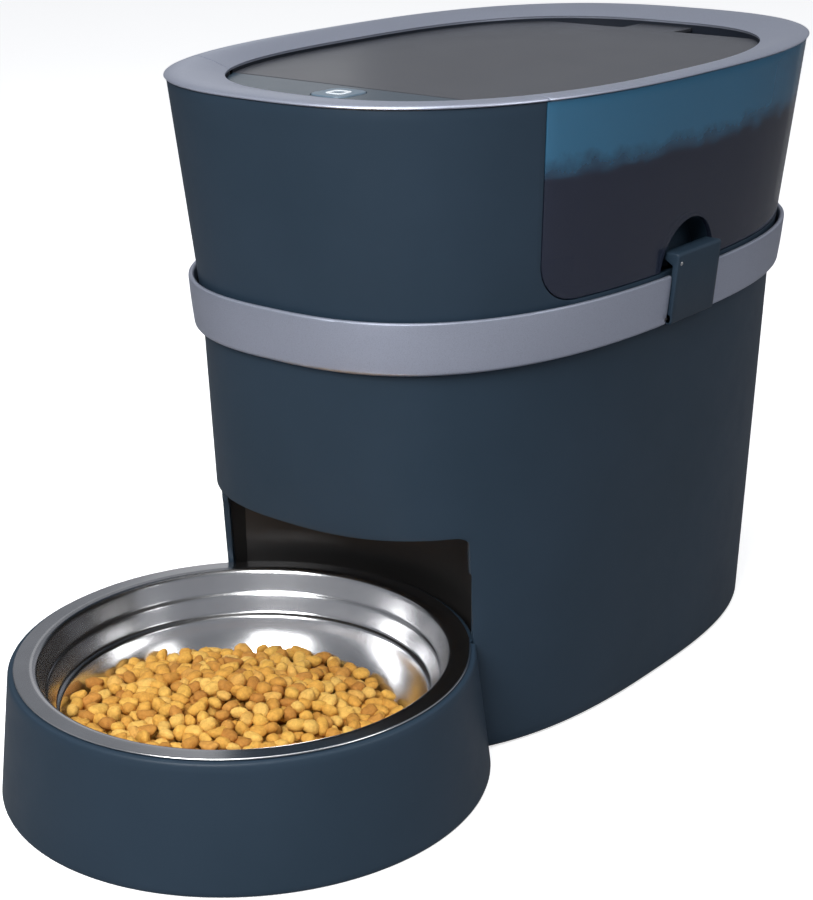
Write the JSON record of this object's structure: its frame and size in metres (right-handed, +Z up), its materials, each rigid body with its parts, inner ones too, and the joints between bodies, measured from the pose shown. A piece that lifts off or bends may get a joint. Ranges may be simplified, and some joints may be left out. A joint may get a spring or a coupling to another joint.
{
  "type": "automatic pet feeder",
  "caption": "Automatic pet feeder with a lift-off translucent hopper, hinged side latches, a feed button, a belt drive and a steel bowl in a pull-out holder.",
  "frame": {"origin": "on the floor under the middle of the whole feeder, bowl included", "axes": "+Z up, the bowl is towards -Y, +X to the right when looking along +Y"},
  "size_m": [0.24, 0.503, 0.312],
  "materials": {
    "housing_plastic": "fine satin texture",
    "underside_plastic": "matte",
    "alcove_plastic": "smooth satin",
    "silver_trim": "satin silver paint",
    "panel_gloss": "semi-gloss",
    "button_plastic": "semi-gloss",
    "light_ring": "translucent white",
    "tank_plastic": "dark translucent",
    "lid_plastic": "smoky, satin gloss",
    "lid_catch_plastic": "satin",
    "seal_rubber": "matte",
    "conveyor_plastic": "matte",
    "belt_rubber": "matte",
    "roller_plastic": "matte",
    "pinion_brass": "machined",
    "circuit_board": "satin",
    "component_plastic": "matte",
    "motor_steel": "satin",
    "cell_jacket": "gloss",
    "contact_metal": "plated",
    "screw_steel": "satin",
    "foot_rubber": "matte",
    "bowl_steel": "polished"
  },
  "bodies": {
    "root": {"base_shell": "housing_plastic", "base_plate": "underside_plastic", "hopper_deck": "underside_plastic", "alcove_liner": "alcove_plastic", "food_chute": "underside_plastic", "trim_band_front": "silver_trim", "trim_band_rear": "silver_trim", "front_shell": "housing_plastic", "front_bulkhead": "underside_plastic", "front_rim": "silver_trim", "control_panel": "panel_gloss", "control_board": "circuit_board", "button_switch": "component_plastic", "main_board": "circuit_board", "board_components": "component_plastic", "motor": "motor_steel", "gearbox_case": "component_plastic", "motor_bracket": "motor_steel", "power_inlet": "component_plastic", "battery_box": "underside_plastic", "battery_door": "underside_plastic", "cell_1": "cell_jacket", "cell_2": "cell_jacket", "cell_3": "cell_jacket", "cell_4": "cell_jacket", "battery_contacts": "contact_metal", "foot_1": "foot_rubber", "foot_2": "foot_rubber", "foot_3": "foot_rubber", "foot_4": "foot_rubber", "case_screw_1": "screw_steel", "case_screw_2": "screw_steel", "case_screw_3": "screw_steel", "case_screw_4": "screw_steel", "door_screw_1": "screw_steel", "door_screw_2": "screw_steel", "latch_pin_right": "screw_steel", "latch_pin_left": "screw_steel"},
    "hopper": {"hopper_tank": "tank_plastic", "rear_rim": "silver_trim", "finger_well": "tank_plastic", "hopper_funnel": "tank_plastic", "conveyor_housing": "conveyor_plastic", "conveyor_belt": "belt_rubber"},
    "lid": {"lid_panel": "lid_plastic", "lid_seal": "seal_rubber"},
    "lid_catch": {"lid_catch": "lid_catch_plastic"},
    "feed_button": {"feed_button": "button_plastic", "button_ring": "light_ring"},
    "drive_roller": {"drive_roller": "roller_plastic", "drive_gear": "roller_plastic"},
    "idler_roller": {"idler_roller": "roller_plastic"},
    "motor_pinion": {"motor_pinion": "pinion_brass"},
    "latch_right": {"latch_right": "housing_plastic"},
    "latch_left": {"latch_left": "housing_plastic"},
    "bowl_holder": {"bowl_holder": "housing_plastic"},
    "steel_bowl": {"steel_bowl": "bowl_steel"}
  },
  "joints": [
    {"name": "hopper_lift", "type": "slide", "parent": "root", "child": "hopper", "axis": [0, 0, 1], "range_m": [0, 0.12]},
    {"name": "lid_lift", "type": "slide", "parent": "hopper", "child": "lid", "axis": [0, 0, 1], "range_m": [0, 0.1]},
    {"name": "lid_catch_slide", "type": "slide", "parent": "lid", "child": "lid_catch", "axis": [0, -1, 0], "range_m": [0, 0.006], "stiffness_N_per_m": 120, "springref_m": -0.002},
    {"name": "feed_button_press", "type": "slide", "parent": "root", "child": "feed_button", "axis": [0, 0, -1], "range_m": [0, 0.0008], "stiffness_N_per_m": 600, "springref_m": -0.0005},
    {"name": "drive_roller_spin", "type": "hinge", "parent": "hopper", "child": "drive_roller", "pos_m": [0, 0.004, 0.206], "axis": [1, 0, 0], "continuous": true},
    {"name": "idler_roller_spin", "type": "hinge", "parent": "hopper", "child": "idler_roller", "pos_m": [0, 0.15, 0.206], "axis": [1, 0, 0], "continuous": true},
    {"name": "motor_pinion_spin", "type": "hinge", "parent": "root", "child": "motor_pinion", "pos_m": [0, 0.004, 0.18575], "axis": [1, 0, 0], "continuous": true},
    {"name": "latch_right_hinge", "type": "hinge", "parent": "root", "child": "latch_right", "pos_m": [0.1105, 0.062, 0.195], "axis": [0, 1, 0], "range_deg": [0, 60]},
    {"name": "latch_left_hinge", "type": "hinge", "parent": "root", "child": "latch_left", "pos_m": [-0.1105, 0.062, 0.195], "axis": [0, -1, 0], "range_deg": [0, 60]},
    {"name": "bowl_holder_slide", "type": "slide", "parent": "root", "child": "bowl_holder", "axis": [0, -1, 0], "range_m": [0, 0.09]},
    {"name": "steel_bowl_lift", "type": "slide", "parent": "bowl_holder", "child": "steel_bowl", "axis": [0, 0, 1], "range_m": [0, 0.03]}
  ],
  "couplings": [
    {"joint": "idler_roller_spin", "follows": "drive_roller_spin", "ratio": 1},
    {"joint": "motor_pinion_spin", "follows": "drive_roller_spin", "ratio": -2.2}
  ]
}
